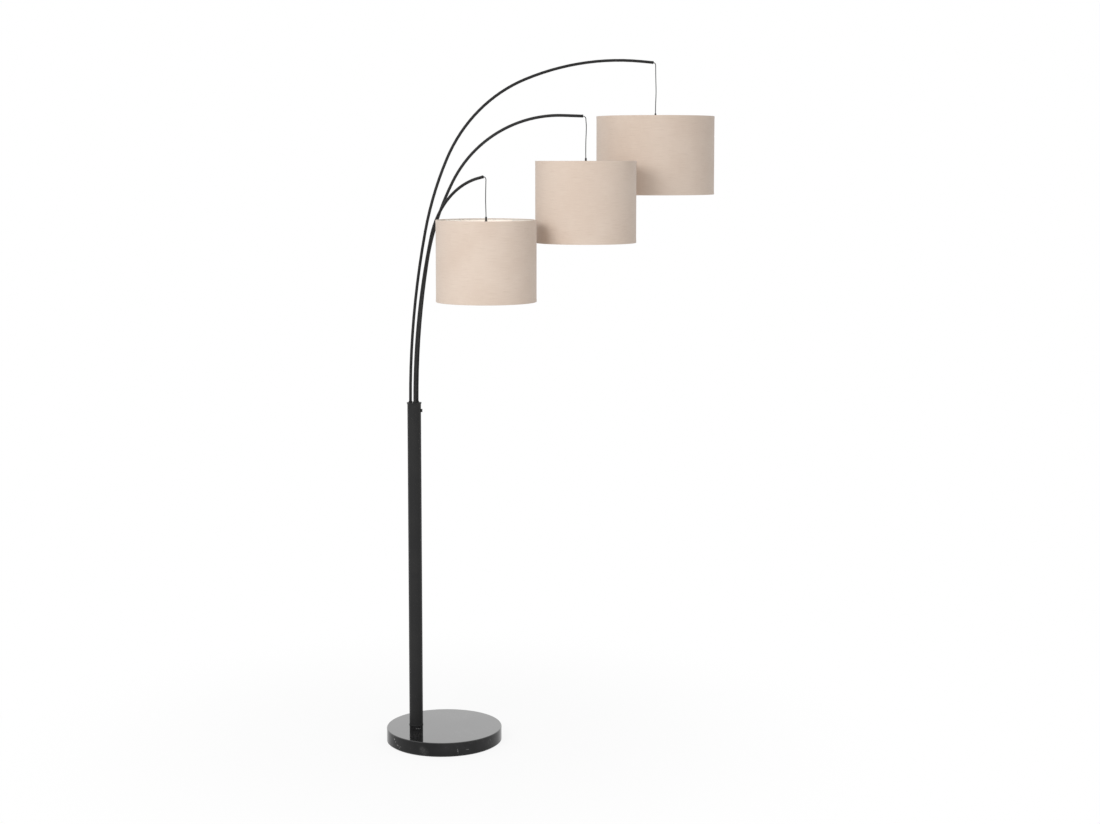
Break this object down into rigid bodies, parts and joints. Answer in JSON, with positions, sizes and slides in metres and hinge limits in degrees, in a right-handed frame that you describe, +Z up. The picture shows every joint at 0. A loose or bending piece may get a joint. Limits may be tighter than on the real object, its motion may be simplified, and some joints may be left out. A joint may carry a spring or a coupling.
{
  "type": "floor lamp",
  "caption": "Tree floor lamp: a slim post on a round stone base, off its centre, carries thin arched swivelling arms, each with a fabric drum shade hung from its tip on a short cord.",
  "frame": {"origin": "on the floor, under the centre of the round base", "axes": "+Z up; +X from the post towards the middle shade's side; +Y away from the side seen in the picture"},
  "size_m": [0.9831, 0.7578, 2.0149],
  "materials": {
    "marble": "polished black marble, thin pale veins",
    "felt": "pressed felt",
    "black_metal": "satin black powder coat on steel",
    "bare_steel": "zinc-plated steel",
    "black_rubber": "matt black sheath",
    "black_plastic": "fine matt black moulding",
    "white_plastic": "white moulding",
    "white_wire": "white coated steel wire",
    "linen": "beige linen weave",
    "lining": "cream styrene sheet",
    "bulb_metal": "plain screw cap",
    "opal_glass": "opal white"
  },
  "bodies": {
    "stand": {"base_felt": "felt", "marble_base": "marble", "base_washer": "bare_steel", "base_bolt": "bare_steel", "post_foot_plug": "bare_steel", "foot_ring": "black_metal", "post_tube": "black_metal", "cable_grommet": "black_rubber"},
    "screw": {"lock_screw": "black_metal"},
    "head": {"top_cap": "black_metal", "terminal_block": "white_plastic"},
    "arm_1": {"arm_tube_1": "black_metal", "arm_collar_1": "black_metal", "end_bushing_1": "black_plastic", "inner_lead_1": "black_rubber", "cord_bend_1": "black_rubber"},
    "cord_1": {"pendant_cord_1": "black_rubber"},
    "shade_1": {"cord_grip_1": "black_plastic", "lamp_holder_1": "black_plastic", "ring_nut_1": "black_plastic", "shade_spider_1": "white_wire", "bottom_ring_1": "white_wire", "shade_drum_1": "linen", "shade_lining_1": "lining", "bulb_cap_1": "bulb_metal", "bulb_glass_1": "opal_glass"},
    "arm_2": {"arm_tube_2": "black_metal", "arm_collar_2": "black_metal", "end_bushing_2": "black_plastic", "inner_lead_2": "black_rubber", "cord_bend_2": "black_rubber"},
    "cord_2": {"pendant_cord_2": "black_rubber"},
    "shade_2": {"cord_grip_2": "black_plastic", "lamp_holder_2": "black_plastic", "ring_nut_2": "black_plastic", "shade_spider_2": "white_wire", "bottom_ring_2": "white_wire", "shade_drum_2": "linen", "shade_lining_2": "lining", "bulb_cap_2": "bulb_metal", "bulb_glass_2": "opal_glass"},
    "arm_3": {"arm_tube_3": "black_metal", "arm_collar_3": "black_metal", "end_bushing_3": "black_plastic", "inner_lead_3": "black_rubber", "cord_bend_3": "black_rubber"},
    "cord_3": {"pendant_cord_3": "black_rubber"},
    "shade_3": {"cord_grip_3": "black_plastic", "lamp_holder_3": "black_plastic", "ring_nut_3": "black_plastic", "shade_spider_3": "white_wire", "bottom_ring_3": "white_wire", "shade_drum_3": "linen", "shade_lining_3": "lining", "bulb_cap_3": "bulb_metal", "bulb_glass_3": "opal_glass"}
  },
  "joints": [
    {"name": "head_swivel", "type": "hinge", "parent": "stand", "child": "head", "pos_m": [-0.084, 0.014, 0.983], "axis": [0, 0, 1], "range_deg": [-90, 90]},
    {"name": "lock_screw_turn", "type": "hinge", "parent": "stand", "child": "screw", "pos_m": [-0.064, 0.014, 0.983], "axis": [1, 0, 0], "range_deg": [-360, 360]},
    {"name": "arm_swivel_1", "type": "hinge", "parent": "head", "child": "arm_1", "pos_m": [-0.09493, 0.01724, 1.007], "axis": [0, 0, 1], "range_deg": [-2, 90]},
    {"name": "cord_swing_1", "type": "hinge", "parent": "arm_1", "child": "cord_1", "pos_m": [0.63509, 0.26377, 1.99487], "axis": [0.32, -0.9474, 0], "range_deg": [-6, 6]},
    {"name": "shade_tilt_1", "type": "hinge", "parent": "cord_1", "child": "shade_1", "pos_m": [0.63509, 0.26377, 1.85137], "axis": [0.9474, 0.32, 0], "range_deg": [-5, 5]},
    {"name": "arm_swivel_2", "type": "hinge", "parent": "head", "child": "arm_2", "pos_m": [-0.07573, 0.02185, 1.007], "axis": [0, 0, 1], "range_deg": [-4, 4]},
    {"name": "cord_swing_2", "type": "hinge", "parent": "arm_2", "child": "cord_2", "pos_m": [0.41623, -0.02622, 1.828], "axis": [-0.0972, -0.9953, 0], "range_deg": [-4, 6]},
    {"name": "shade_tilt_2", "type": "hinge", "parent": "cord_2", "child": "shade_2", "pos_m": [0.41623, -0.02622, 1.7175], "axis": [0.9953, -0.0972, 0], "range_deg": [-5, 5]},
    {"name": "arm_swivel_3", "type": "hinge", "parent": "head", "child": "arm_3", "pos_m": [-0.08134, 0.00291, 1.007], "axis": [0, 0, 1], "range_deg": [-90, 1.5]},
    {"name": "cord_swing_3", "type": "hinge", "parent": "arm_3", "child": "cord_3", "pos_m": [0.13246, -0.17459, 1.65605], "axis": [-0.6388, -0.7694, 0], "range_deg": [-6, 6]},
    {"name": "shade_tilt_3", "type": "hinge", "parent": "cord_3", "child": "shade_3", "pos_m": [0.13246, -0.17459, 1.55305], "axis": [0.7694, -0.6388, 0], "range_deg": [-5, 5]}
  ]
}
